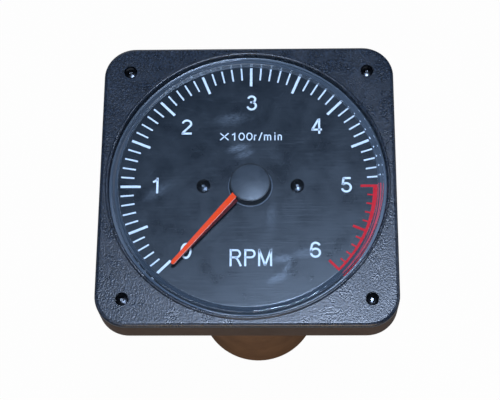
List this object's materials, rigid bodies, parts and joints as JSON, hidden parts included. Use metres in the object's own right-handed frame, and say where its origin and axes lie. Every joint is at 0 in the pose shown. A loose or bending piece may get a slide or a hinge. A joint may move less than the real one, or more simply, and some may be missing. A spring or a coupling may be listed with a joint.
{
  "type": "panel tachometer",
  "caption": "Round-dial electric tachometer in a square bezel with a turning needle, a red zone and a long round case behind.",
  "frame": {"origin": "on the axis of the round case, in the plane of the tray's rear face, which seats on the panel", "axes": "+Z out of the dial towards the viewer, +Y up on the dial, +X to the viewer's right"},
  "size_m": [0.11, 0.11, 0.1663],
  "materials": {
    "black_moulding": "grained satin",
    "clear_plastic": "clear gloss",
    "black_rubber": "matt",
    "black_steel": "black oxide",
    "plain_steel": "satin",
    "brown_moulding": "satin",
    "black_cover": "satin",
    "brass": "turned",
    "dial_paint": "matt",
    "white_ink": "matt",
    "red_ink": "matt",
    "plated_steel": "dull zinc",
    "aluminium_sheet": "satin",
    "bronze": "turned",
    "soft_iron": "ground",
    "magnet_alloy": "dull cast",
    "spring_bronze": "bright",
    "copper_winding": "varnished copper wire",
    "needle_paint": "satin",
    "grey_cap": "satin",
    "black_boss": "satin",
    "board_laminate": "solder mask",
    "blue_plastic": "gloss",
    "capacitor_sleeve": "shrink sleeve",
    "chip_plastic": "matt",
    "resistor_body": "lacquered",
    "wire_cover": "satin"
  },
  "bodies": {
    "case": {"front_frame": "black_moulding", "window": "clear_plastic", "window_gasket": "black_rubber", "frame_screws": "black_steel", "corner_studs": "plain_steel", "rear_tray": "brown_moulding", "rear_can": "brown_moulding", "case_seal": "black_rubber", "end_cover": "black_cover", "cover_screws": "black_steel", "terminal_studs": "brass", "terminal_nuts": "brass", "terminal_washers": "plain_steel", "dial_plate": "dial_paint", "scale_marks": "white_ink", "red_zone": "red_ink", "dial_pillars": "brass", "dial_screws": "black_steel", "movement_plate": "plated_steel", "movement_screws": "plain_steel", "movement_pillars": "brass", "pillar_screws": "plain_steel", "back_plate": "plated_steel", "front_bearing": "bronze", "rear_bearing": "brass", "bearing_nut": "brass", "yoke_ring": "soft_iron", "pole_ring": "soft_iron", "magnet": "magnet_alloy", "zero_lever": "brass", "rear_spring_post": "brass", "stop_post": "plain_steel", "front_hairspring": "spring_bronze", "rear_hairspring": "spring_bronze", "circuit_board": "board_laminate", "board_brackets": "plain_steel", "bracket_screws": "plain_steel", "trimmer": "blue_plastic", "capacitor": "capacitor_sleeve", "converter_chip": "chip_plastic", "resistors": "resistor_body", "lead_wires": "wire_cover"},
    "needle": {"spindle": "plain_steel", "coil_former": "aluminium_sheet", "moving_coil": "copper_winding", "balance_arm": "aluminium_sheet", "balance_weight": "brass", "front_collet": "brass", "rear_collet": "brass", "hub_boss": "black_boss", "pointer": "needle_paint", "hub_cap": "grey_cap"}
  },
  "joints": [
    {"name": "needle_turn", "type": "hinge", "parent": "case", "child": "needle", "pos_m": [0.0009, 0, 0], "axis": [0, 0, -1], "range_deg": [0, 276], "stiffness_Nm_per_rad": 0.00002}
  ]
}
